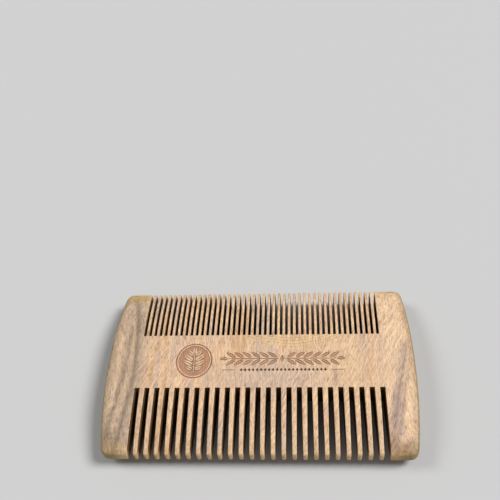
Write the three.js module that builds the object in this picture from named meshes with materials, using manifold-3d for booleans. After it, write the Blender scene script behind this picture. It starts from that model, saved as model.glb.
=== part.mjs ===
// Two-sided beard comb, cut from one board of light sandalwood.
// The board lies flat: X runs along the spine, +Y to the fine teeth, -Y to the
// coarse teeth, +Z out of the front face. The origin is the middle of the back
// face, on the surface that the comb rests on. Millimetres.
import * as THREE from 'three';
import { mergeVertices } from 'three/addons/utils/BufferGeometryUtils.js';
import Module from 'manifold-3d';

// ---- Board ----
const BOARD_LENGTH = 105; // over the bowed ends, at their widest
const BOARD_HEIGHT = 63; // fine tips to coarse tips
const SPINE_THICKNESS = 10; // on the flat band along the middle
const TIP_THICKNESS = 3.8; // at the tips, before their edges are rounded
const FLAT_BAND = 14; // width of the flat band on each face
const END_BOW_RADIUS = 250; // each end swells outwards on this radius
const CORNER_RADIUS = 3.2; // plan corners of the end guards
const NOSE_RADIUS = 1.2; // rounding of both faces into the tip edge
const GUARD_WIDTH = 10.6; // least solid width left at each end, at mid height

// ---- Fine row, on +Y ----
const FINE_PITCH = 1.855;
const FINE_SLOT = 0.89; // the same width from root to tip
const FINE_LENGTH = 20.2; // tooth length

// ---- Coarse row, on -Y ----
const COARSE_PITCH = 3.4;
const COARSE_SLOT_ROOT = 1.58; // the slots open out, so the teeth taper
const COARSE_SLOT_TIP = 1.98;
const COARSE_LENGTH = 22.3;

// ---- Facets ----
const TIP_STEPS = 6; // around each round tooth tip
const CORNER_STEPS = 6; // around each plan corner
const BOW_STEPS = 10; // along each bowed end
const FACE_STEPS = 5; // from the flat band to the tips, on each face
const NOSE_STEPS = 3; // around each nose
const OVERRUN = 1; // how far a rough block stands past the shape that trims it
const NOSE_OVERRUN = 0.02; // keeps the two tip planes from coinciding

const HALF_LENGTH = BOARD_LENGTH / 2;
const HALF_HEIGHT = BOARD_HEIGHT / 2;
const HALF_THICKNESS = SPINE_THICKNESS / 2;
const HALF_TURN = Math.PI;
const QUARTER_TURN = Math.PI / 2;

// Points along an arc, both ends included.
function arcPoints(centreX, centreY, radius, fromAngle, toAngle, steps) {
  const points = [];
  for (let i = 0; i <= steps; i += 1) {
    const angle = fromAngle + ((toAngle - fromAngle) * i) / steps;
    const x = centreX + radius * Math.cos(angle);
    const y = centreY + radius * Math.sin(angle);
    points.push(new THREE.Vector2(x, y));
  }
  return points;
}

// A fillet inside a large circle whose centre lies on the u axis, where the
// circle meets the line v = edge: the fillet's centre, and the angle at which
// it touches the circle.
function filletAgainstEdge(circleU, circleRadius, edge, radius) {
  const v = edge - radius;
  const reach = circleRadius - radius;
  const u = circleU + Math.sqrt(reach * reach - v * v);
  const touch = Math.atan2(v, u - circleU);
  return { u, v, touch };
}

// How many whole teeth fit between the end guards: one slot more than teeth.
function toothCount(pitch, slot) {
  const room = BOARD_LENGTH - 2 * GUARD_WIDTH;
  return Math.floor((room - slot) / pitch);
}

// One end of the outline, from its -Y corner to its +Y corner, on +X.
function endPoints() {
  const bowCentre = HALF_LENGTH - END_BOW_RADIUS;
  const corner = filletAgainstEdge(bowCentre, END_BOW_RADIUS, HALF_HEIGHT, CORNER_RADIUS);
  const upper = arcPoints(
    corner.u, corner.v, CORNER_RADIUS, corner.touch, QUARTER_TURN, CORNER_STEPS,
  );
  const bow = arcPoints(
    bowCentre, 0, END_BOW_RADIUS, -corner.touch, corner.touch, BOW_STEPS,
  );
  const lower = upper.map((p) => new THREE.Vector2(p.x, -p.y)).reverse();
  return [...lower.slice(0, -1), ...bow, ...upper.slice(1)];
}

// One row of teeth on the +Y edge, walked from +X to -X: into each slot, along
// its bottom and out round the next tip.
function toothRow({ pitch, slotRoot, slotTip, length }) {
  const teeth = toothCount(pitch, slotRoot);
  const firstSlot = (teeth * pitch) / 2;
  const rootY = HALF_HEIGHT - length;
  const tipRadius = (pitch - slotTip) / 2;
  const rootHalf = (pitch - slotRoot) / 2;
  const points = [
    new THREE.Vector2(firstSlot + slotTip / 2, HALF_HEIGHT),
    new THREE.Vector2(firstSlot + slotRoot / 2, rootY),
  ];
  for (let i = 0; i < teeth; i += 1) {
    const middle = firstSlot - (i + 0.5) * pitch;
    points.push(new THREE.Vector2(middle + rootHalf, rootY));
    points.push(
      ...arcPoints(middle, HALF_HEIGHT - tipRadius, tipRadius, 0, HALF_TURN, TIP_STEPS),
    );
    points.push(new THREE.Vector2(middle - rootHalf, rootY));
  }
  points.push(new THREE.Vector2(-firstSlot - slotRoot / 2, rootY));
  points.push(new THREE.Vector2(-firstSlot - slotTip / 2, HALF_HEIGHT));
  return points;
}

function halfTurn(points) {
  return points.map((p) => new THREE.Vector2(-p.x, -p.y));
}

// The whole outline with both rows of slots, counter-clockwise seen from +Z.
function outlineShape() {
  const fine = toothRow({
    pitch: FINE_PITCH,
    slotRoot: FINE_SLOT,
    slotTip: FINE_SLOT,
    length: FINE_LENGTH,
  });
  const coarse = toothRow({
    pitch: COARSE_PITCH,
    slotRoot: COARSE_SLOT_ROOT,
    slotTip: COARSE_SLOT_TIP,
    length: COARSE_LENGTH,
  });
  const end = endPoints();
  return new THREE.Shape([...end, ...fine, ...halfTurn(end), ...halfTurn(coarse)]);
}

// A quarter of the board's section, as (height from the mid plane, Y): flat to
// the edge of the band, then an arc that meets the band without a crease, then
// the nose.
function sectionQuarter() {
  const bandEdge = FLAT_BAND / 2;
  const run = HALF_HEIGHT - bandEdge;
  const fall = (SPINE_THICKNESS - TIP_THICKNESS) / 2;
  const faceRadius = (run * run + fall * fall) / (2 * fall);
  const faceCentre = HALF_THICKNESS - faceRadius;
  const edge = run + NOSE_OVERRUN;
  const nose = filletAgainstEdge(faceCentre, faceRadius, edge, NOSE_RADIUS);
  const face = arcPoints(faceCentre, 0, faceRadius, 0, nose.touch, FACE_STEPS);
  const tip = arcPoints(nose.u, nose.v, NOSE_RADIUS, nose.touch, QUARTER_TURN, NOSE_STEPS);
  return [...face, ...tip.slice(1)].map((p) => new THREE.Vector2(p.x, p.y + bandEdge));
}

// The board's whole section in (height, Y), walked right round.
function sectionShape() {
  const quarter = sectionQuarter();
  const place = (sideways, upwards) =>
    quarter.map((p) => new THREE.Vector2(HALF_THICKNESS + sideways * p.x, upwards * p.y));
  return new THREE.Shape([
    ...place(1, 1),
    ...place(-1, 1).reverse(),
    ...place(-1, -1),
    ...place(1, -1).reverse(),
  ]);
}

// The outline as a straight-sided slab, thicker than the board.
function slabGeometry() {
  const geometry = new THREE.ExtrudeGeometry(outlineShape(), {
    depth: SPINE_THICKNESS + 2 * OVERRUN,
    bevelEnabled: false,
  });
  return geometry.translate(0, 0, -OVERRUN);
}

// The section as a bar along X, longer than the board.
function barGeometry() {
  const length = BOARD_LENGTH + 2 * OVERRUN;
  const geometry = new THREE.ExtrudeGeometry(sectionShape(), {
    depth: length,
    bevelEnabled: false,
  });
  // The section is drawn as (height, Y) and swept along the drawing's own Z:
  // turn it so that height is Z and the sweep is X.
  const turn = new THREE.Matrix4().makeBasis(
    new THREE.Vector3(0, 0, 1),
    new THREE.Vector3(0, 1, 0),
    new THREE.Vector3(-1, 0, 0),
  );
  return geometry.applyMatrix4(turn).translate(length / 2, 0, 0);
}

function toSolid(wasm, geometry) {
  geometry.deleteAttribute('normal');
  geometry.deleteAttribute('uv');
  const merged = mergeVertices(geometry, 1e-5);
  const mesh = new wasm.Mesh({
    numProp: 3,
    vertProperties: new Float32Array(merged.attributes.position.array),
    triVerts: new Uint32Array(merged.index.array),
  });
  return new wasm.Manifold(mesh);
}

function toGeometry(solid) {
  const { vertProperties, triVerts } = solid.getMesh();
  const geometry = new THREE.BufferGeometry();
  geometry.setAttribute('position', new THREE.BufferAttribute(vertProperties, 3));
  geometry.setIndex(new THREE.BufferAttribute(triVerts, 1));
  geometry.computeVertexNormals();
  return geometry;
}

function sandalwood() {
  return new THREE.MeshStandardMaterial({
    color: 0xd0a67c,
    roughness: 0.62,
    metalness: 0,
  });
}

const wasm = await Module();
wasm.setup();

// The comb is the part of the slab that lies inside the bar.
const slab = toSolid(wasm, slabGeometry());
const bar = toSolid(wasm, barGeometry());
const comb = new THREE.Mesh(toGeometry(slab.intersect(bar)), sandalwood());
comb.name = 'comb';

const part = new THREE.Group();
part.name = 'beard_comb';
part.add(comb);

export default part;
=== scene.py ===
# %% [markdown]
# # A two-sided beard comb
# A beard comb of this kind is one board of light sandalwood. A fine row of teeth
# is sawn into one long edge and a coarse row into the other, and the solid wood
# left between and beside them makes the spine and the two end guards. Nothing is
# glued or fixed on, so the whole comb is one piece here too.
#
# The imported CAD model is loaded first. It stays as it is, and it gives the comb's
# length, height and thickness; this script adds what the CAD leaves plain: round
# edges, smooth faces, the burnt ornament and the wood.

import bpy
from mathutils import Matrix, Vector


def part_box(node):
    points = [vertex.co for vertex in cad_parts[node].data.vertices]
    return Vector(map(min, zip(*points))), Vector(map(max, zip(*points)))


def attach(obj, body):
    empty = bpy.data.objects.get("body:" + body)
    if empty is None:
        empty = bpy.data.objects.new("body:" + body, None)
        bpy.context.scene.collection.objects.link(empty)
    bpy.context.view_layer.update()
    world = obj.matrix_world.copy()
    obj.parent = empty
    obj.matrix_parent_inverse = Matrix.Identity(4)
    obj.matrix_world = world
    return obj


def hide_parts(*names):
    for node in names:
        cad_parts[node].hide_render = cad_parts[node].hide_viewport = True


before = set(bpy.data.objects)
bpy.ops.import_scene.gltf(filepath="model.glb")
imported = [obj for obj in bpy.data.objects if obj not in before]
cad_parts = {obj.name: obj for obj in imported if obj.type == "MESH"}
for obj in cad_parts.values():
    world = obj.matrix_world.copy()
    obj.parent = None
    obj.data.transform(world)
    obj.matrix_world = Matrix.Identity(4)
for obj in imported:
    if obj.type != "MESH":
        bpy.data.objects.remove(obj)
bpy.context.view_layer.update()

# %% Read the comb's size from the frame
import math
from collections import namedtuple

import bpy
from mathutils import Matrix, Vector
from mathutils.geometry import delaunay_2d_cdt

MM = 0.001
low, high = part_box("comb")
LENGTH = high.x - low.x
HALF_HEIGHT = (high.y - low.y) / 2
HALF_THICKNESS = (high.z - low.z) / 2
print(f"board {LENGTH / MM:.1f} long, {2 * HALF_HEIGHT / MM:.1f} high, "
      f"{2 * HALF_THICKNESS / MM:.1f} mm thick")

# %% [markdown]
# ## Camera
# A comb shows most of itself from above its coarse teeth, from close enough for the
# rows to converge a little. A 50 mm lens does that. The camera is turned and
# rolled slightly, as a hand-held one is, and it looks past the comb, so that the
# comb fills the lower half of the view.

# %% Place the camera
CAMERA_PLACE = Vector((17.2, -119.3, 216.4)) * MM
LOOK_DOWN = math.radians(50.46)  # below the horizon
TURN_LEFT = math.radians(7.43)
ROLL = math.radians(-6.92)
LENS_MM = 50
SENSOR_MM = 36

camera_data = bpy.data.cameras.new("camera")
camera_data.lens = LENS_MM
camera_data.sensor_width = SENSOR_MM
camera = bpy.data.objects.new("camera", camera_data)
camera.matrix_world = (
    Matrix.Translation(CAMERA_PLACE)
    @ Matrix.Rotation(TURN_LEFT, 4, "Z")
    @ Matrix.Rotation(math.pi / 2 - LOOK_DOWN, 4, "X")
    @ Matrix.Rotation(ROLL, 4, "Z")
)
bpy.context.scene.collection.objects.link(camera)
bpy.context.scene.camera = camera
print("camera is", round(CAMERA_PLACE.length, 3), "m from the comb")

# %% [markdown]
# ## The board's section
# Seen from the end, the board is flat along the middle and thins towards both
# rows of tips, so that the teeth slide into a beard. The fall is one wide arc that
# starts level with the flat band, and a small arc, the nose, turns it into the tip
# edge. Both faces are alike, so one function of the distance from the middle line
# describes them.

# %% Height of a face above the mid plane
FLAT_BAND = 14 * MM
TIP_THICKNESS = 3.8 * MM
NOSE_RADIUS = 1.2 * MM

fall = HALF_THICKNESS - TIP_THICKNESS / 2
run = HALF_HEIGHT - FLAT_BAND / 2
FACE_RADIUS = (run**2 + fall**2) / (2 * fall)
FACE_CENTRE = HALF_THICKNESS - FACE_RADIUS
NOSE_RUN = run - NOSE_RADIUS
NOSE_HEIGHT = FACE_CENTRE + math.sqrt((FACE_RADIUS - NOSE_RADIUS) ** 2 - NOSE_RUN**2)
nose_start = NOSE_RUN * FACE_RADIUS / (FACE_RADIUS - NOSE_RADIUS)


def face_height(y):
    """How far a face stands above the mid plane, at this distance from the middle line."""
    across = abs(y) - FLAT_BAND / 2
    if across <= 0:
        return HALF_THICKNESS
    if across < nose_start:
        return FACE_CENTRE + math.sqrt(FACE_RADIUS**2 - across**2)
    return NOSE_HEIGHT + math.sqrt(max(NOSE_RADIUS**2 - (across - NOSE_RUN) ** 2, 0))


print(f"faces fall on a {FACE_RADIUS / MM:.0f} mm radius to "
      f"{2 * face_height(HALF_HEIGHT) / MM:.1f} mm at the tip edge")

# %% [markdown]
# ## The outline
# The outline is walked once round the board, in and out of every slot. Each point
# carries three things: where it is, which way the wood lies, and how far the edge
# there is rounded over. The end guards are rounded by hand, so their edges are
# soft; a tooth's edges are only broken with fine paper, and the saw leaves the
# bottom of a slot almost sharp.
#
# Arcs and straight walls are all that an outline needs, so there is one helper for
# each.

# %% Points on an arc and along a wall
EdgePoint = namedtuple("EdgePoint", "place inward rounding")


def arc(centre, radius, start, stop, steps, rounding, hollow=False):
    """Edge points round an arc. The wood is inside a bulging arc and outside a hollow one.
    rounding is a pair, at the first and at the last point."""
    points = []
    for i in range(steps + 1):
        share = i / steps
        angle = start + (stop - start) * share
        outward = Vector((math.cos(angle), math.sin(angle)))
        blend = share * share * (3 - 2 * share)
        points.append(EdgePoint(
            Vector(centre) + outward * radius,
            outward if hollow else -outward,
            rounding[0] + (rounding[1] - rounding[0]) * blend,
        ))
    return points


def wall(start, stop, rounding, steps, dense_end):
    """Edge points between start and stop, both left out, with the wood on the left.
    They lie closer together towards the dense end, 0 for the start and 1 for the stop."""
    start, stop = Vector(start), Vector(stop)
    along = (stop - start).normalized()
    inward = Vector((-along.y, along.x))
    points = []
    for i in range(1, steps):
        share = math.sin(i / steps * math.pi / 2)
        if dense_end == 0:
            share = 1 - math.sin((1 - i / steps) * math.pi / 2)
        points.append(EdgePoint(start.lerp(stop, share), inward, rounding))
    return points


def half_turn(points):
    """The same edge points on the opposite side of the board."""
    return [EdgePoint(-p.place, -p.inward, p.rounding) for p in points]


# %% [markdown]
# ### The ends
# Each end swells outwards a little, which fits the palm, and meets the tooth edges
# in a round corner. The rounding of the edge fades along that corner, because the
# nose takes over from it on the tooth edge.

# %% Walk round one end
END_BOW_RADIUS = 250 * MM
CORNER_RADIUS = 3.2 * MM
END_ROUNDING = 1.5 * MM
GUARD_TIP_ROUNDING = 0.35 * MM
CORNER_STEPS = 14
BOW_STEPS = 60
QUARTER = math.pi / 2

bow_centre = LENGTH / 2 - END_BOW_RADIUS
corner_y = HALF_HEIGHT - CORNER_RADIUS
corner_x = bow_centre + math.sqrt((END_BOW_RADIUS - CORNER_RADIUS) ** 2 - corner_y**2)
corner_touch = math.atan2(corner_y, corner_x - bow_centre)


def end_edge():
    """One end, from its -Y corner to its +Y corner, on +X."""
    fade_in = (GUARD_TIP_ROUNDING, END_ROUNDING)
    full = (END_ROUNDING, END_ROUNDING)
    fade_out = fade_in[::-1]
    lower = arc((corner_x, -corner_y), CORNER_RADIUS, -QUARTER, -corner_touch, CORNER_STEPS, fade_in)
    bow = arc((bow_centre, 0), END_BOW_RADIUS, -corner_touch, corner_touch, BOW_STEPS, full)
    upper = arc((corner_x, corner_y), CORNER_RADIUS, corner_touch, QUARTER, CORNER_STEPS, fade_out)
    return lower[:-1] + bow + upper[1:]


end = end_edge()
print(f"an end has {len(end)} points and reaches {max(p.place.x for p in end) / MM:.2f} mm")

# %% [markdown]
# ### The teeth
# A row is cut by a gang of thin saws, so all its slots are alike and evenly spaced.
# The fine slots are as wide at the tip as at the root; the coarse ones open out, so
# the coarse teeth taper. As many teeth as fit between the two guards are cut, and
# each tip is sanded round.

# %% Sizes of the two rows
Row = namedtuple("Row", "pitch slot_root slot_tip length rounding")
FINE = Row(1.855 * MM, 0.89 * MM, 0.89 * MM, 20.2 * MM, 0.2 * MM)
COARSE = Row(3.4 * MM, 1.58 * MM, 1.98 * MM, 22.3 * MM, 0.27 * MM)
GUARD_WIDTH = 10.6 * MM  # least solid width at each end


def tooth_count(row):
    """How many teeth fit between the guards, with one slot more than teeth."""
    room = LENGTH - 2 * GUARD_WIDTH
    return int((room - row.slot_root) / row.pitch)


print(tooth_count(FINE), "fine and", tooth_count(COARSE), "coarse teeth")

# %% Shape of a slot's bottom and of a tip
KERF_RADIUS = 0.1 * MM  # corners at the bottom of a slot
KERF_ROUNDING = 0.08 * MM
KERF_STEPS = 3
TIP_STEPS = 10


def slot_bottom(middle, row):
    """The bottom of a slot, from its +X wall to its -X wall."""
    y = HALF_HEIGHT - row.length + KERF_RADIUS
    reach = row.slot_root / 2 - KERF_RADIUS
    into = (row.rounding, KERF_ROUNDING)
    out = into[::-1]
    right = arc((middle + reach, y), KERF_RADIUS, 0, -QUARTER, KERF_STEPS, into, hollow=True)
    left = arc((middle - reach, y), KERF_RADIUS, -QUARTER, -math.pi, KERF_STEPS, out, hollow=True)
    return right + left


def tooth_tip(middle, row):
    """The round tip of a tooth, from +X to -X."""
    radius = (row.pitch - row.slot_tip) / 2
    same = (row.rounding, row.rounding)
    return arc((middle, HALF_HEIGHT - radius), radius, 0, math.pi, TIP_STEPS, same)


# %% Walk along both rows
MOUTH_RADIUS = 0.4 * MM  # where the first slot leaves a guard's tip
MOUTH_STEPS = 4
WALL_STEPS = 20


def row_edge(row):
    """A row of teeth on the +Y edge, walked from +X to -X."""
    teeth = tooth_count(row)
    first = teeth * row.pitch / 2
    reach = first + row.slot_tip / 2 + MOUTH_RADIUS
    y = HALF_HEIGHT - MOUTH_RADIUS
    mouth = (GUARD_TIP_ROUNDING, row.rounding)
    pieces = [arc((reach, y), MOUTH_RADIUS, QUARTER, math.pi, MOUTH_STEPS, mouth)]
    for i in range(teeth):
        pieces.append(slot_bottom(first - i * row.pitch, row))
        pieces.append(tooth_tip(first - (i + 0.5) * row.pitch, row))
    pieces.append(slot_bottom(-first, row))
    pieces.append(arc((-reach, y), MOUTH_RADIUS, 0, QUARTER, MOUTH_STEPS, mouth[::-1]))
    points = list(pieces[0])
    for number, piece in enumerate(pieces[1:]):
        start, stop = points[-1].place, piece[0].place
        dense_end = 0 if number % 2 == 0 else 1
        points += wall(start, stop, row.rounding, WALL_STEPS, dense_end)
        points += piece
    return points


fine_edge = row_edge(FINE)
coarse_edge = half_turn(row_edge(COARSE))
outline = end + fine_edge + half_turn(end) + coarse_edge
print(len(outline), "outline points,", len(fine_edge), "of them on the fine edge")

# %% [markdown]
# ## The ornament
# Combs of this kind carry a mark burnt into the spine by a laser. This one has a
# plain ornament instead: an oval medallion with a leaf sprig left standing in it, a
# laurel band, and under the band a row of small lozenges between two fine
# rules. Every stroke is a closed shape, drawn in millimetres from the middle of
# the front face, and it names its finish: WOOD is bare, BURNT is light brown and
# DEEP_BURNT is dark. A shape inside another turns it back into wood.

# %% Shapes that the ornament is drawn with
WOOD, BURNT, DEEP_BURNT = 0, 1, 2
Shape = namedtuple("Shape", "points finish")
LEAF_FULLNESS = 0.8  # below 1, a leaf is widest nearer its base


def oval(centre, half_width, half_height, steps=72):
    """A closed oval."""
    turns = [2 * math.pi * i / steps for i in range(steps)]
    return [centre + Vector((half_width * math.cos(a), half_height * math.sin(a))) for a in turns]


def leaf_half(base, tip, bulge, rib, side, steps=9):
    """Half of a leaf: from base to tip along its margin, and straight back beside the rib."""
    along = tip - base
    across = Vector((-along.y, along.x)).normalized() * side
    margin = []
    for i in range(steps + 1):
        share = i / steps
        swell = math.sin(math.pi * share**LEAF_FULLNESS) * bulge
        margin.append(base + along * share + across * (rib + swell))
    return margin


def leaf(base, tip, bulge, rib=0.1):
    """A whole leaf, as two halves with the rib between them."""
    return [leaf_half(base, tip, bulge, rib, side) for side in (1, -1)]


def bar(start, stop, width):
    """A straight stroke of even width."""
    along = (stop - start).normalized()
    across = Vector((-along.y, along.x)) * width / 2
    return [start + across, start - across, stop - across, stop + across]


def lozenge(centre, half_width, half_height):
    """A small diamond."""
    return oval(centre, half_width, half_height, steps=4)


# %% Draw the medallion
MEDALLION_CENTRE = Vector((-22.3, 1.0))
MEDALLION_HALF_WIDTH = 6.3
MEDALLION_HALF_HEIGHT = 6.8
RIM_WIDTH = 0.5
RIM_GAP = 0.42
SPRIG_FOOT, SPRIG_TOP = -4.9, 2.5  # where its stem starts and ends
SPRIG_STEM = 0.3
TOP_LEAF_GAP, TOP_LEAF_RISE, TOP_LEAF_BULGE = 0.2, 2.7, 0.62
LEAF_GAP = 0.42  # from the middle of a stem to the foot of a leaf
SPRIG_PAIRS = (  # for each pair of leaves: height on the stem, reach, rise and bulge
    (-3.4, 2.9, 1.3, 0.6),
    (-1.7, 3.8, 1.8, 0.74),
    (0.1, 3.7, 2.4, 0.74),
    (1.9, 2.5, 2.5, 0.56),
)


def medallion():
    """A rim, and inside it a burnt oval that a sprig of leaves is left standing in."""
    shapes = []
    for inset in (0, RIM_WIDTH, RIM_WIDTH + RIM_GAP):
        shapes.append(oval(MEDALLION_CENTRE, MEDALLION_HALF_WIDTH - inset,
                           MEDALLION_HALF_HEIGHT - inset))
    foot = MEDALLION_CENTRE + Vector((0, SPRIG_FOOT))
    shapes.append(bar(foot, MEDALLION_CENTRE + Vector((0, SPRIG_TOP)), SPRIG_STEM))
    top = MEDALLION_CENTRE + Vector((0, SPRIG_TOP + TOP_LEAF_GAP))
    shapes += leaf(top, top + Vector((0, TOP_LEAF_RISE)), TOP_LEAF_BULGE)
    for side in (-1, 1):
        for height, reach, rise, bulge in SPRIG_PAIRS:
            base = MEDALLION_CENTRE + Vector((side * LEAF_GAP, height))
            tip = MEDALLION_CENTRE + Vector((side * reach, height + rise))
            shapes += leaf(base, tip, bulge)
    return shapes


print("the medallion has", len(medallion()), "closed shapes")

# %% Draw the laurel band
BAND_START, BAND_STOP = -13.6, 29.4
BAND_MIDDLE = 1.7
LAUREL_PAIRS = 6  # on each side of the middle
LAUREL_LEAF = Vector((3.3, 2.15))  # from a leaf's foot to its tip
LAUREL_BULGE = 0.56
FIRST_LEAF = 0.15  # where the first pair stands, as a share of one leaf's spacing
LAST_LEAF = 3.0
STEM_WIDTH = 0.26
STEM_START = 1.3  # from the middle of the band
STEM_GAP = 0.3  # between the stem and the last leaf
MIDDLE_LOZENGE = (0.75, 1.5)  # half width and half height


def laurel_half(middle, far_end):
    """One branch, from the middle of the band out to its far end."""
    side = math.copysign(1, far_end - middle)
    start = Vector((middle + side * STEM_START, BAND_MIDDLE))
    last_leaf = Vector((side * LAST_LEAF, 0))
    stop = Vector((far_end, BAND_MIDDLE)) - last_leaf
    shapes = [bar(start, stop - Vector((side * STEM_GAP, 0)), STEM_WIDTH)]
    shapes += leaf(stop, stop + last_leaf, LAUREL_BULGE)
    for i in range(LAUREL_PAIRS):
        foot = start.lerp(stop, (i + FIRST_LEAF) / LAUREL_PAIRS)
        for up in (-1, 1):
            base = foot + Vector((0, up * LEAF_GAP))
            tip = foot + Vector((side * LAUREL_LEAF.x, up * (LAUREL_LEAF.y + LEAF_GAP)))
            shapes += leaf(base, tip, LAUREL_BULGE)
    return shapes


def laurel_band():
    """Two branches that grow outwards from a lozenge."""
    middle = (BAND_START + BAND_STOP) / 2
    shapes = [lozenge(Vector((middle, BAND_MIDDLE)), *MIDDLE_LOZENGE)]
    return shapes + laurel_half(middle, BAND_START) + laurel_half(middle, BAND_STOP)


print("the laurel band has", len(laurel_band()), "closed shapes")

# %% Draw the line under the band
LINE_HEIGHT = -2.6
LOZENGES = 22
LOZENGE_ENDS = (-5.9, 22.4)
SMALL_LOZENGE = (0.5, 0.62)
RULE_ENDS = ((-12.4, -8.0), (24.4, 28.8))
RULE_WIDTH = 0.2


def lozenge_row():
    """Small lozenges, side by side."""
    start, stop = LOZENGE_ENDS
    places = [start + (stop - start) * i / (LOZENGES - 1) for i in range(LOZENGES)]
    return [lozenge(Vector((x, LINE_HEIGHT)), *SMALL_LOZENGE) for x in places]


def rules():
    """The fine rules at both ends of the row."""
    return [bar(Vector((left, LINE_HEIGHT)), Vector((right, LINE_HEIGHT)), RULE_WIDTH)
            for left, right in RULE_ENDS]


ornament = [Shape(points, BURNT) for points in medallion() + laurel_band() + rules()]
ornament += [Shape(points, DEEP_BURNT) for points in lozenge_row()]
print(len(ornament), "shapes in the whole ornament")

# %% [markdown]
# ## From outline to solid
# Each face is filled by a Delaunay triangulation. It takes the outline, moved in by
# its rounding, as a border, the ornament's shapes as inner borders, and a loose
# grid of extra points so that the bowed face stays smooth where the wood is wide.
# It also says which triangles lie inside which shape, and that picks out the
# engraved ones.

# %% Spread the loose points
GRID = 1.1 * MM


def inside_slot(x, y, margin):
    """Whether a point is in or near the zone that the slots take up."""
    for row, side in ((FINE, 1), (COARSE, -1)):
        reach = tooth_count(row) * row.pitch / 2 + row.slot_tip / 2 + margin
        if abs(x) < reach and side * y > HALF_HEIGHT - row.length - margin:
            return True
    return False


def grid_points():
    """Points over the spine and the guards, clear of every edge."""
    margin = END_ROUNDING + GRID / 2
    columns = int(LENGTH / GRID)
    rows = int(2 * HALF_HEIGHT / GRID)
    points = []
    for j in range(rows + 1):
        y = -HALF_HEIGHT + j * 2 * HALF_HEIGHT / rows
        for i in range(columns + 1):
            x = -LENGTH / 2 + (i + (j % 2) / 2) * LENGTH / columns
            reach = bow_centre + math.sqrt(END_BOW_RADIUS**2 - y * y) - margin
            reach -= max(0, abs(y) - corner_y)
            if abs(x) > reach or abs(y) > HALF_HEIGHT - margin:
                continue
            if not inside_slot(x, y, GRID / 2):
                points.append(Vector((x, y)))
    return points


print(len(grid_points()), "loose points")

# %% Fill both faces
SAME_POINT = 1e-5  # mm: points that are closer than this become one


def turned_left(points):
    """The same closed shape, with its points in counter-clockwise order."""
    area = sum(a.x * b.y - b.x * a.y for a, b in zip(points, points[1:] + points[:1]))
    return points if area > 0 else points[::-1]


def fill(border, shapes, extra):
    """Triangles over the border: points, corner numbers, finishes and the border's numbers."""
    points = [p / MM for p in border]
    loops = [list(range(len(border)))]
    for shape in shapes:
        loops.append(list(range(len(points), len(points) + len(shape.points))))
        points += turned_left(shape.points)
    points += [p / MM for p in extra]
    flat, _, triangles, sources, _, containers = delaunay_2d_cdt(
        points, [], loops, 1, SAME_POINT)
    finishes = []
    for inside in containers:
        around = [shapes[number - 1].finish for number in inside if number > 0]
        finishes.append(around[0] if len(around) % 2 == 1 else WOOD)
    place = {source: i for i, merged in enumerate(sources) for source in merged}
    border_numbers = [place[i] for i in range(len(border))]
    return [p * MM for p in flat], triangles, finishes, border_numbers


inner_border = [p.place + p.inward * p.rounding for p in outline]
front = fill(inner_border, ornament, grid_points())
back = fill(inner_border, [], grid_points())
burnt_count = sum(1 for finish in front[2] if finish != WOOD)
print(f"front face: {len(front[1])} triangles, {burnt_count} of them burnt; "
      f"back face: {len(back[1])}")

# %% [markdown]
# The rounding of the edges comes next: rings of points that follow the outline,
# each a little lower and further out than the last, from the filled face down to
# the straight wall. One strip of quads then joins the front's lowest ring to the
# back's. The engraving is sunk by giving its triangles their own lowered points
# and closing the gap with upright walls, so the whole comb stays one closed body.

# %% A place to collect points and faces
class Solid:
    """Points, faces and the finish of each face, collected before the mesh is made."""

    def __init__(self):
        self.points, self.faces, self.finishes = [], [], []

    def add_point(self, x, y, z):
        self.points.append((x, y, HALF_THICKNESS + z))
        return len(self.points) - 1

    def add_face(self, corners, finish, flip=False):
        self.faces.append(list(reversed(corners)) if flip else list(corners))
        self.finishes.append(finish)


# %% Round the edge
ROUNDING_STEPS = 5


def rounding_rings(solid, side):
    """Rings round the edge, from the straight wall up to just short of the face."""
    rings = []
    for step in range(ROUNDING_STEPS):
        angle = QUARTER * step / ROUNDING_STEPS
        numbers = []
        for point in outline:
            inset = point.rounding * (1 - math.cos(angle))
            drop = point.rounding * (1 - math.sin(angle))
            x, y = point.place + point.inward * inset
            numbers.append(solid.add_point(x, y, side * (face_height(y) - drop)))
        rings.append(numbers)
    return rings


def strip(solid, lower, upper, flip=False):
    """Quads between two rings of points."""
    count = len(lower)
    for i in range(count):
        j = (i + 1) % count
        solid.add_face((lower[i], lower[j], upper[j], upper[i]), WOOD, flip)


# %% Sink the burnt shapes
BURN_SINK = 0.22 * MM


def sink(solid, triangles, finishes, numbers):
    """Adds the front face, with its burnt triangles lowered and walled round."""
    lowered = {}
    owner = {}
    for triangle, finish in zip(triangles, finishes):
        for k in range(3):
            owner[triangle[k], triangle[(k + 1) % 3]] = finish
        if finish == WOOD:
            continue
        for corner in triangle:
            if corner not in lowered:
                x, y, z = solid.points[numbers[corner]]
                lowered[corner] = solid.add_point(x, y, z - HALF_THICKNESS - BURN_SINK)
    for triangle, finish in zip(triangles, finishes):
        if finish == WOOD:
            solid.add_face([numbers[c] for c in triangle], WOOD)
            continue
        solid.add_face([lowered[c] for c in triangle], finish)
        for k in range(3):
            a, b = triangle[k], triangle[(k + 1) % 3]
            if owner.get((b, a)) == WOOD:
                wall_corners = (lowered[a], lowered[b], numbers[b], numbers[a])
                solid.add_face(wall_corners, DEEP_BURNT)


# %% Join the two faces
def add_side(solid, filled, side):
    """One face of the comb with its rounded edge. Returns the ring at the wall."""
    flat, triangles, finishes, border = filled
    numbers = [solid.add_point(p.x, p.y, side * face_height(p.y)) for p in flat]
    rings = rounding_rings(solid, side) + [[numbers[i] for i in border]]
    for lower, upper in zip(rings, rings[1:]):
        strip(solid, lower, upper, flip=side < 0)
    if side > 0:
        sink(solid, triangles, finishes, numbers)
    else:
        for triangle in triangles:
            solid.add_face([numbers[c] for c in triangle], WOOD, flip=True)
    return rings[0]


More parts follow.
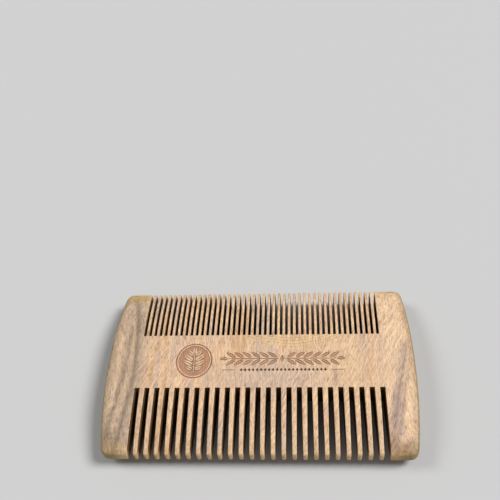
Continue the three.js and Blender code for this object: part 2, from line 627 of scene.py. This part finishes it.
solid = Solid()
front_ring = add_side(solid, front, 1)
back_ring = add_side(solid, back, -1)
strip(solid, back_ring, front_ring)
print(len(solid.points), "points,", len(solid.faces), "faces")

# %% Make the comb
SMOOTH_BELOW = math.radians(38)

comb_mesh = bpy.data.meshes.new("sandalwood_comb")
comb_mesh.from_pydata(solid.points, [], solid.faces)
comb_mesh.polygons.foreach_set("material_index", solid.finishes)
comb_mesh.validate()
comb_mesh.shade_smooth()
comb_mesh.set_sharp_from_angle(angle=SMOOTH_BELOW)
comb = bpy.data.objects.new("sandalwood_comb", comb_mesh)
bpy.context.scene.collection.objects.link(comb)
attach(comb, "root")
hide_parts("comb")
print("comb measures", [round(v / MM, 2) for v in comb.dimensions], "mm")
print("triangles:", sum(len(polygon.vertices) - 2 for polygon in comb_mesh.polygons))

# %% [markdown]
# ## The wood
# Light sandalwood is straw to peach in colour, with grey and faintly purple
# heartwood in long streaks, and it is full of short open pores. The grain runs
# along the teeth, because teeth cut across it would snap. The figure is worked out
# from the place in the board, so it runs on unbroken from the spine into every
# tooth and down the walls of the slots, as it does in a real board.
#
# A picture of wood could be wrapped round the comb instead, but it would smear down
# the slots, and it would look coarse close up. Noise that is stretched along the
# grain does neither. The helpers below each add one node and return its result, so
# that the recipe for the wood stays readable.

# %% Colours for a shader
def srgb(red, green, blue):
    """A colour given as it looks on a screen, 0 to 255, as a shader wants it."""
    def linear(value):
        share = value / 255
        return share / 12.92 if share <= 0.04045 else ((share + 0.055) / 1.055) ** 2.4
    return (linear(red), linear(green), linear(blue), 1)


print("middle grey for a shader:", round(srgb(128, 128, 128)[0], 3))


# %% Helpers for a material's nodes
class Finish:
    """A material, with short ways to add the nodes that it needs."""

    def __init__(self, name):
        self.material = bpy.data.materials.new(name)
        self.material.use_nodes = True
        self.tree = self.material.node_tree
        self.shader = self.tree.nodes["Principled BSDF"]

    def feed(self, socket, value):
        """Links a node's result to a socket, or sets the socket to a plain value."""
        if isinstance(value, bpy.types.NodeSocket):
            self.tree.links.new(value, socket)
        else:
            socket.default_value = value

    def add(self, kind, inputs, **settings):
        node = self.tree.nodes.new(kind)
        for name, value in settings.items():
            setattr(node, name, value)
        for socket, value in inputs.items():
            self.feed(node.inputs[socket], value)
        return node

    def maths(self, operation, a, b=0.0, c=0.0):
        return self.add("ShaderNodeMath", {0: a, 1: b, 2: c}, operation=operation).outputs[0]

    def times(self, *values):
        """The product of the values."""
        product = values[0]
        for value in values[1:]:
            product = self.maths("MULTIPLY", product, value)
        return product

    def total(self, *terms):
        """The sum of the terms, each of them a value and its weight, or a plain number."""
        result = sum(term for term in terms if not isinstance(term, tuple))
        for value, weight in (term for term in terms if isinstance(term, tuple)):
            result = self.maths("MULTIPLY_ADD", value, weight, result)
        return result

    def ease(self, value, start, stop, at_start=0.0, at_stop=1.0):
        """Turns start..stop into at_start..at_stop, easing in and out."""
        inputs = {"Value": value, 1: start, 2: stop, 3: at_start, 4: at_stop}
        return self.add("ShaderNodeMapRange", inputs, interpolation_type="SMOOTHSTEP").outputs[0]

    def noise(self, place, grain):
        """Noise with its own number of waves per millimetre across and along the grain."""
        x, y, z = place
        vector = self.add("ShaderNodeCombineXYZ", {
            0: self.times(x, grain.across),
            1: self.times(y, grain.along),
            2: self.times(z, grain.across),
        }).outputs[0]
        inputs = {"Vector": vector, "Scale": 1.0, "Detail": grain.detail}
        return self.add("ShaderNodeTexNoise", inputs).outputs[0]

    def mix(self, share, a, b):
        """Colour a, with this share of colour b."""
        inputs = {0: share, 6: a, 7: b}
        return self.add("ShaderNodeMix", inputs, data_type="RGBA").outputs[2]

    def ramp(self, value, stops):
        """A run of colours over the value, given as (position, colour) pairs."""
        node = self.add("ShaderNodeValToRGB", {0: value})
        elements = node.color_ramp.elements
        while len(elements) < len(stops):
            elements.new(1.0)
        for element, (position, colour) in zip(elements, stops):
            element.position = position
            element.color = colour
        return node.outputs[0]

    def shaded(self, colour, brightness):
        """The colour, made lighter or darker."""
        node = self.add("ShaderNodeVectorMath", {0: colour}, operation="SCALE")
        self.feed(node.inputs["Scale"], brightness)
        return node.outputs[0]


# %% [markdown]
# Every layer of the wood starts from the same two things: the place in the board,
# in millimetres from the middle of its back face, and the way that the surface
# faces there. The second tells sanded faces from rounded edges and sawn walls.

# %% Place and facing
Board = namedtuple("Board", "place facing")


def board_of(finish):
    """The place in the board as (x, y, z), and how squarely the surface faces X, Y and Z."""
    source = finish.add("ShaderNodeTexCoord", {}).outputs
    in_mm = finish.shaded(source["Object"], 1 / MM)
    place = finish.add("ShaderNodeSeparateXYZ", {0: in_mm}).outputs
    normal = finish.add("ShaderNodeSeparateXYZ", {0: source["Normal"]}).outputs
    return Board(tuple(place), tuple(finish.maths("ABSOLUTE", part) for part in normal))


# %% [markdown]
# ### Grain
# A board's fibres are never quite straight. A slow noise bends them over several
# centimetres and a quicker one makes them waver. Sandalwood is also interlocked:
# its fibres lean one way in some layers and the other way in the next, so short
# strokes slant to the right in places and to the left in others, and broad pale
# swathes cross them.

# %% Fibres, strokes and pores
Grain = namedtuple("Grain", "across along detail")

DRIFT = Grain(0.035, 0.022, 0)
WAVER = Grain(0.3, 0.09, 1)
DRIFT_REACH, WAVER_REACH = 9.0, 1.3  # mm
LEAN_RIGHT, LEAN_LEFT = 0.42, -0.16  # mm sideways for each mm along the grain
STROKES_RIGHT = Grain(1.5, 0.2, 2)
STROKES_LEFT = Grain(1.7, 0.16, 2)
LEAN_PATCHES = Grain(0.07, 0.05, 1)
LEAN_CHANGE = (0.46, 0.56)  # strokes lean left below this noise and right above it
HAIRS = Grain(3.8, 0.42, 3)
SWATHES = Grain(0.5, 0.08, 1)
THREADS = Grain(13.0, 0.8, 2)
PORES = Grain(3.5, 0.55, 1)
PORE_LEAN = 0.14
PORE_EDGE = (0.56, 0.65)


def bent(finish, place):
    """The same place, with its x measured along the bent grain."""
    x, y, z = place
    drift = finish.noise(place, DRIFT)
    waver = finish.noise(place, WAVER)
    return finish.total((x, 1.0), (drift, DRIFT_REACH), (waver, WAVER_REACH)), y, z


def leaning(finish, place, lean):
    """The same place, sheared so that strokes lean to one side."""
    x, y, z = place
    return finish.total((x, 1.0), (y, -lean)), y, z


def strokes(finish, board, along_grain):
    """Short slanting strokes that change their lean from patch to patch."""
    right = finish.noise(leaning(finish, along_grain, LEAN_RIGHT), STROKES_RIGHT)
    left = finish.noise(leaning(finish, along_grain, LEAN_LEFT), STROKES_LEFT)
    patch = finish.ease(finish.noise(board.place, LEAN_PATCHES), *LEAN_CHANGE)
    return finish.total((left, 1.0), (finish.maths("SUBTRACT", right, left), patch))


def pores(finish, along_grain):
    """Dark dashes along the grain, 1 in a pore and 0 outside it."""
    lean = leaning(finish, along_grain, PORE_LEAN)
    return finish.ease(finish.noise(lean, PORES), *PORE_EDGE)


# %% [markdown]
# ### Colour
# Slow bands across the grain run from tan through straw and peach to a greyish
# rose. On top come the marks that make this board itself: a grey heartwood streak
# down the left guard, a pale right guard with purplish streaks in it, a tan band
# beside the medallion, and growth rings that dip into the spine as a shallow bowl.
# Each mark is only a colour and a soft mask, so it can be moved or left out by
# itself. Where a mask is given by two distances, it is nothing at the first and
# full at the second.

# %% Bands of colour
STRAW = srgb(228, 194, 152)
PEACH = srgb(225, 185, 150)
TAN = srgb(206, 163, 120)
HONEY = srgb(215, 174, 134)
ROSE_GREY = srgb(208, 180, 156)
ASH = srgb(178, 155, 132)
BANDS = Grain(0.27, 0.014, 2)
PATCHES = Grain(0.09, 0.06, 1)
BAND_SHARE, PATCH_SHARE = 0.75, 0.25
BAND_COLOURS = [(0.38, HONEY), (0.455, PEACH), (0.5, STRAW), (0.555, PEACH), (0.63, ROSE_GREY)]
GREY_CENTRE = (4.0, -5.5)  # of the greyish rose below the ornament
GREY_SIDES, GREY_ENDS = (26.0, 8.0), (7.0, 2.0)  # mm from its centre
GREY_STRENGTH = 0.75
ASH_REACH = (-34.0, -48.0)
ASH_STRENGTH = 0.7


def band_colours(finish, board, along_grain):
    """Long soft bands, greyer below the ornament and towards the left end."""
    bands = finish.noise(along_grain, BANDS)
    patch = finish.noise(board.place, PATCHES)
    tone = finish.total((bands, BAND_SHARE), (patch, PATCH_SHARE))
    colour = finish.ramp(tone, BAND_COLOURS)
    x, y, _ = board.place
    sideways = finish.maths("ABSOLUTE", finish.total(-GREY_CENTRE[0], (x, 1.0)))
    upwards = finish.maths("ABSOLUTE", finish.total(-GREY_CENTRE[1], (y, 1.0)))
    grey = finish.times(
        finish.ease(sideways, *GREY_SIDES), finish.ease(upwards, *GREY_ENDS), GREY_STRENGTH)
    colour = finish.mix(grey, colour, ROSE_GREY)
    towards_left = finish.ease(x, *ASH_REACH, 0.0, ASH_STRENGTH)
    return finish.mix(towards_left, colour, ASH)


# %% Streaks of this board
# A streak crosses the middle line at x. It leans and bends by y and by y squared,
# fades over its width, and runs from low to high.
CREAM = srgb(240, 206, 170)
HEARTWOOD = srgb(120, 100, 82)
PURPLE_GREY = srgb(150, 124, 116)
BROWN = srgb(146, 112, 78)
Streak = namedtuple("Streak", "x lean bend width strength colour low high")
STREAKS = [
    Streak(46.5, 0.0, 0.0, 9.0, 0.55, CREAM, -22, 40),
    Streak(-42.6, -0.01, -0.0042, 1.5, 1.0, HEARTWOOD, -40, 40),
    Streak(-42.6, -0.01, -0.0042, 0.7, 0.6, BROWN, 20, 34),
    Streak(-41.4, -0.01, -0.0042, 3.2, 0.7, ASH, -40, 40),
    Streak(-46.2, 0.05, -0.003, 1.5, 0.45, HEARTWOOD, -40, 18),
    Streak(-48.6, -0.02, -0.002, 1.2, 0.5, CREAM, -18, 14),
    Streak(-36.3, 0.1, 0.0, 1.4, 0.85, TAN, -9, 11),
    Streak(47.9, 0.2, 0.0, 2.8, 0.5, PURPLE_GREY, -34, 10),
    Streak(48.6, 0.24, 0.0, 0.6, 0.55, PURPLE_GREY, -24, 7),
    Streak(50.4, 0.22, 0.0, 1.1, 0.4, PURPLE_GREY, -33, 12),
    Streak(47.2, 0.12, 0.0, 3.4, 0.3, PURPLE_GREY, -34, -6),
    Streak(25.6, 0.0, 0.0, 1.3, 0.6, PURPLE_GREY, -9, -1),
    Streak(46.8, 0.0, 0.0, 8.0, 0.75, BROWN, -40, -26),
    Streak(-49.0, 0.0, 0.0, 6.0, 0.6, HEARTWOOD, -40, -22),
]
STREAK_WAVER = 1.2  # mm
STREAK_FADE = 3.0  # mm at each end


def streaked(finish, board, along_grain, colour):
    """The colour with every streak laid over it."""
    x, y, _ = board.place
    waver = finish.noise(along_grain, WAVER)
    square = finish.maths("MULTIPLY", y, y)
    for mark in STREAKS:
        middle = finish.total(
            mark.x - STREAK_WAVER / 2, (y, mark.lean), (square, mark.bend), (waver, STREAK_WAVER))
        offset = finish.maths("ABSOLUTE", finish.maths("SUBTRACT", x, middle))
        core = finish.ease(offset, 0.0, mark.width, mark.strength, 0.0)
        below = finish.ease(y, mark.high, mark.high - STREAK_FADE)
        above = finish.ease(y, mark.low, mark.low + STREAK_FADE)
        colour = finish.mix(finish.times(core, below, above), colour, mark.colour)
    return colour


print(len(STREAKS), "streaks")

# %% Growth rings in the spine
GOLD = srgb(229, 194, 148)
RING_BOTTOM = (11.0, 6.2)
RING_RISE = 0.0135  # mm upwards for each square millimetre sideways
RING_SPACING = 1.15
RING_WAVER = 1.0
BOWL_BOTTOM, BOWL_TOP = (-0.4, 0.5), (6.0, 2.5)  # mm above the lowest ring
BOWL_SIDES = (24.0, 12.0)
BOWL_STRENGTH, RING_STRENGTH = 0.6, 0.75


def ringed(finish, board, colour):
    """The colour with growth rings that dip into the upper spine."""
    x, y, _ = board.place
    sideways = finish.total(-RING_BOTTOM[0], (x, 1.0))
    square = finish.maths("MULTIPLY", sideways, sideways)
    waver = finish.noise(board.place, WAVER)
    lowest = RING_BOTTOM[1] + RING_WAVER / 2
    height = finish.total(-lowest, (y, 1.0), (square, -RING_RISE), (waver, RING_WAVER))
    bowl = finish.times(finish.ease(height, *BOWL_BOTTOM), finish.ease(height, *BOWL_TOP))
    bowl = finish.times(bowl, finish.ease(finish.maths("ABSOLUTE", sideways), *BOWL_SIDES))
    ring = finish.maths("SINE", finish.times(height, 2 * math.pi / RING_SPACING))
    colour = finish.mix(finish.times(bowl, BOWL_STRENGTH), colour, GOLD)
    ring_share = finish.times(bowl, finish.ease(ring, 0.0, 1.0), RING_STRENGTH)
    return finish.mix(ring_share, colour, TAN)


# %% [markdown]
# ### Edges and walls
# Sanding rounds the edges and cuts through the fibres at a slant, and there the
# oil in the wood shows as a yellow olive tint. Round the two ends the olive is
# darker, partly tint and partly painted shade. A fainter tint edges both rows of
# tips. The walls of the slots are painted browner and darker as painted shade
# between the teeth; the saw leaves fine marks across them, so they are also
# rougher than the faces.

# %% Walls of the slots
# painted shade: this brown darkens the walls of the slots between the teeth
SLOT_WALL_SHADE = srgb(112, 82, 44)
WALL_FACING = (0.75, 0.25)  # how squarely a surface faces up, 1 on a face and 0 on a wall
BETWEEN_GUARDS = (43.5, 42.8)
SHORT_OF_TIPS = (31.2, 29.0)
SAW_MARKS = Grain(0.5, 2.4, 1)


def wall_mask(finish, board):
    """1 on the walls of the slots, 0 on the faces, the ends and the round tips."""
    x, y, _ = board.place
    upright = finish.ease(board.facing[2], *WALL_FACING)
    between_guards = finish.ease(finish.maths("ABSOLUTE", x), *BETWEEN_GUARDS)
    short_of_tips = finish.ease(finish.maths("ABSOLUTE", y), *SHORT_OF_TIPS)
    return finish.times(upright, between_guards, short_of_tips)


# %% Olive along the edges
OLIVE = srgb(196, 160, 100)
TIP_TINT = (25.8, 29.8)  # mm from the middle line
TIP_WAVER = 2.4
COARSE_TINT, FINE_TINT = 0.4, 0.85
TINT_CHANGE = (-20.0, 20.0)
LEFT_GUARD = (-41.0, -43.0)
TINT_ELSEWHERE = 0.4
ROUNDED_FACING = (0.97, 0.5)
ROUNDED_TINT = 0.65


def edge_mask(finish, board):
    """The share of olive on rounded edges and near the tips, fading into the faces."""
    x, y, _ = board.place
    ragged = finish.noise(board.place, WAVER)
    from_middle = finish.maths("ABSOLUTE", y)
    distance = finish.total(-TIP_WAVER / 2, (from_middle, 1.0), (ragged, TIP_WAVER))
    strength = finish.ease(y, *TINT_CHANGE, COARSE_TINT, FINE_TINT)
    on_left_guard = finish.ease(x, *LEFT_GUARD, TINT_ELSEWHERE, 1.0)
    near_tips = finish.times(finish.ease(distance, *TIP_TINT), strength, on_left_guard)
    rounded = finish.times(finish.ease(board.facing[2], *ROUNDED_FACING), ROUNDED_TINT)
    return finish.maths("MAXIMUM", near_tips, rounded)


# %% Dark olive and painted shade round the ends
DARK_OLIVE = srgb(130, 110, 66)
END_BOW = MM / (2 * END_BOW_RADIUS)  # mm that an end falls back for each square mm of height
BESIDE_END = (2.8, 0.6)  # mm in from an end
BESIDE_END_TINT = 0.42
END_FACING = (0.995, 0.7)
END_TINT = 0.7
BEYOND_TEETH = (43.5, 47.0)


def end_tint_and_shade_mask(finish, board):
    """The share of dark olive round the two ends, partly tint and partly painted shade, fading into
    the guards' faces.
    """
    x, y, _ = board.place
    sideways = finish.maths("ABSOLUTE", x)
    square = finish.maths("MULTIPLY", y, y)
    inset = finish.total(LENGTH / 2 / MM, (sideways, -1.0), (square, -END_BOW))
    beside_edge = finish.times(finish.ease(inset, *BESIDE_END), BESIDE_END_TINT)
    turned = finish.times(finish.ease(board.facing[2], *END_FACING), END_TINT)
    beyond_teeth = finish.ease(sideways, *BEYOND_TEETH)
    return finish.times(finish.maths("MAXIMUM", beside_edge, turned), beyond_teeth)


# %% [markdown]
# ### The recipe
# The colours are laid on one over the other, and every layer of the grain then
# makes the result a little lighter or darker, rougher or smoother, higher or lower.
# How much each layer does is written down as a list of amounts on top of a base.

# %% Lay the colours
wood = Finish("sandalwood")
board = board_of(wood)
along_grain = bent(wood, board.place)
on_wall = wall_mask(wood, board)

colour = band_colours(wood, board, along_grain)
colour = streaked(wood, board, along_grain, colour)
colour = ringed(wood, board, colour)
colour = wood.mix(edge_mask(wood, board), colour, OLIVE)
# dark olive round the ends: partly the wood's tint, partly painted shade on the rounded ends
colour = wood.mix(end_tint_and_shade_mask(wood, board), colour, DARK_OLIVE)
# painted shade on the walls of the slots, between the teeth
colour = wood.mix(on_wall, colour, SLOT_WALL_SHADE)
print("the colours take", len(wood.tree.nodes), "nodes")

# %% Add the grain
BRIGHTNESS = {
    "base": -0.29, "stroke": 0.9, "hair": 0.84, "thread": 0.56, "swathe": 0.18, "pore": -0.26,
}
ROUGHNESS = {"base": 0.36, "stroke": 0.2, "hair": 0.1, "pore": 0.15, "wall": 0.2}
RELIEF = {"base": 0.0, "stroke": 0.5, "hair": 0.6, "thread": 0.3, "pore": -0.8, "saw_mark": 2.0}
RELIEF_DEPTH = 0.04 * MM


def measured(finish, layers, amounts):
    """The base, plus each layer times its amount."""
    terms = [(layers[name], amount) for name, amount in amounts.items() if name != "base"]
    return finish.total(amounts["base"], *terms)


layers = {
    "stroke": strokes(wood, board, along_grain),
    "hair": wood.noise(along_grain, HAIRS),
    "thread": wood.noise(along_grain, THREADS),
    "swathe": wood.noise(leaning(wood, along_grain, LEAN_RIGHT), SWATHES),
    "pore": pores(wood, along_grain),
    "wall": on_wall,
    "saw_mark": wood.times(wood.noise(board.place, SAW_MARKS), on_wall),
}
brightness = measured(wood, layers, BRIGHTNESS)
wood.feed(wood.shader.inputs["Base Color"], wood.shaded(colour, brightness))
wood.feed(wood.shader.inputs["Roughness"], measured(wood, layers, ROUGHNESS))
relief = measured(wood, layers, RELIEF)
bump = wood.add("ShaderNodeBump", {"Height": relief, "Distance": RELIEF_DEPTH, "Strength": 1.0})
wood.feed(wood.shader.inputs["Normal"], bump.outputs[0])
print("wood uses", len(wood.tree.nodes), "nodes")

# %% [markdown]
# ### Burnt ornament
# A laser turns the wood reddish brown where it passes once, and dark brown where
# it passes slowly. It works in close parallel lines, and the harder fibres resist
# it, so the burn is a little uneven. The grain is still there underneath.

# %% Burn the ornament
LIGHT_BURN = srgb(194, 143, 111)
LIGHT_BURN_DARK = srgb(156, 108, 80)
DEEP_BURN = srgb(104, 74, 52)
DEEP_BURN_DARK = srgb(70, 50, 36)
LASER_LINES = 1.4  # per millimetre
BURN = {"base": -0.45, "stroke": 1.1, "hair": 0.6, "line": 0.22}  # 0 is light and 1 is dark
BURN_ROUGHNESS = {"base": 0.6, "hair": 0.3}
BURN_RELIEF = {"base": 0.0, "hair": 0.7, "line": 0.3}
BURN_DEPTH = 0.03 * MM


def burnt_finish(name, light, dark):
    """Burnt wood between two shades, with the laser's lines and the grain in it."""
    burnt = Finish(name)
    board = board_of(burnt)
    along_grain = bent(burnt, board.place)
    layers = {
        "stroke": strokes(burnt, board, along_grain),
        "hair": burnt.noise(along_grain, HAIRS),
        "line": burnt.maths("SINE", burnt.times(board.place[0], 2 * math.pi * LASER_LINES)),
    }
    burn = measured(burnt, layers, BURN)
    burnt.feed(burnt.shader.inputs["Base Color"], burnt.mix(burn, light, dark))
    burnt.feed(burnt.shader.inputs["Roughness"], measured(burnt, layers, BURN_ROUGHNESS))
    relief = measured(burnt, layers, BURN_RELIEF)
    bump = burnt.add("ShaderNodeBump", {"Height": relief, "Distance": BURN_DEPTH})
    burnt.feed(burnt.shader.inputs["Normal"], bump.outputs[0])
    return burnt.material


for material in (
    wood.material,
    burnt_finish("burnt_sandalwood", LIGHT_BURN, LIGHT_BURN_DARK),
    burnt_finish("deep_burnt_sandalwood", DEEP_BURN, DEEP_BURN_DARK),
):
    comb_mesh.materials.append(material)
print([material.name for material in comb_mesh.materials])

# %% [markdown]
# ## Floor and light
# A plain pale floor and soft light show the wood best. The main light is a wide
# soft panel above and to the right: light that comes across the teeth skims the
# fibres and leaves the slots dark, so that the teeth stand out. A weaker panel on
# the left brings up the other rounded end. Area lights close to the comb would
# leave the far floor dark, so both panels are suns instead, which are lights at
# any distance, made as wide in the sky as a large panel is. The sky is dim
# overhead, which keeps the shadows deep but open, and as pale as the floor at the
# horizon, so that the floor seems to go on for ever.

# %% Lay the floor
FLOOR_SIZE = 60.0
FLOOR_GREY = 0.56
FLOOR_ROUGHNESS = 0.9
half = FLOOR_SIZE / 2
floor_mesh = bpy.data.meshes.new("floor")
corners = [(-half, -half, 0), (half, -half, 0), (half, half, 0), (-half, half, 0)]
floor_mesh.from_pydata(corners, [], [(0, 1, 2, 3)])
floor = bpy.data.objects.new("floor", floor_mesh)
bpy.context.scene.collection.objects.link(floor)
paper = Finish("pale_floor")
paper.feed(paper.shader.inputs["Base Color"], (FLOOR_GREY, FLOOR_GREY, FLOOR_GREY, 1))
paper.feed(paper.shader.inputs["Roughness"], FLOOR_ROUGHNESS)
floor_mesh.materials.append(paper.material)
print("floor is", FLOOR_SIZE, "m wide")

# %% Hang the lights
PANEL_WIDTH = math.radians(25)  # as seen from the comb
MAIN_DIRECTION, MAIN_STRENGTH = (0.46, 0.06, 0.56), 2.74
SECOND_DIRECTION, SECOND_STRENGTH = (-0.5, 0.12, 0.5), 1.06


def far_panel(name, direction, strength):
    """A wide soft panel, far away in this direction from the comb."""
    data = bpy.data.lights.new(name, "SUN")
    data.energy = strength
    data.angle = PANEL_WIDTH
    light = bpy.data.objects.new(name, data)
    light.location = direction
    light.rotation_euler = (-Vector(direction)).to_track_quat("-Z", "Y").to_euler()
    bpy.context.scene.collection.objects.link(light)


far_panel("main_panel", MAIN_DIRECTION, MAIN_STRENGTH)
far_panel("second_panel", SECOND_DIRECTION, SECOND_STRENGTH)
print("both panels are", round(math.degrees(PANEL_WIDTH)), "degrees wide")

# %% Spread the sky
SKY_ABOVE, SKY_AT_HORIZON = 0.17, 0.67
HORIZON_REACH = 0.6  # sine of the height where the pale horizon has faded
sky = bpy.data.worlds.new("soft_sky")
sky.use_nodes = True
nodes, links = sky.node_tree.nodes, sky.node_tree.links
direction = nodes.new("ShaderNodeTexCoord")
parts = nodes.new("ShaderNodeSeparateXYZ")
fade = nodes.new("ShaderNodeMapRange")
fade.interpolation_type = "SMOOTHSTEP"
fade.inputs["From Max"].default_value = HORIZON_REACH
fade.inputs["To Min"].default_value = SKY_AT_HORIZON
fade.inputs["To Max"].default_value = SKY_ABOVE
links.new(direction.outputs["Generated"], parts.inputs[0])
links.new(parts.outputs["Z"], fade.inputs["Value"])
links.new(fade.outputs[0], nodes["Background"].inputs["Strength"])
nodes["Background"].inputs["Color"].default_value = (1, 1, 1, 1)
bpy.context.scene.world = sky
bpy.context.scene.view_settings.view_transform = "Standard"
print("sky goes from", SKY_AT_HORIZON, "at the horizon to", SKY_ABOVE, "overhead")
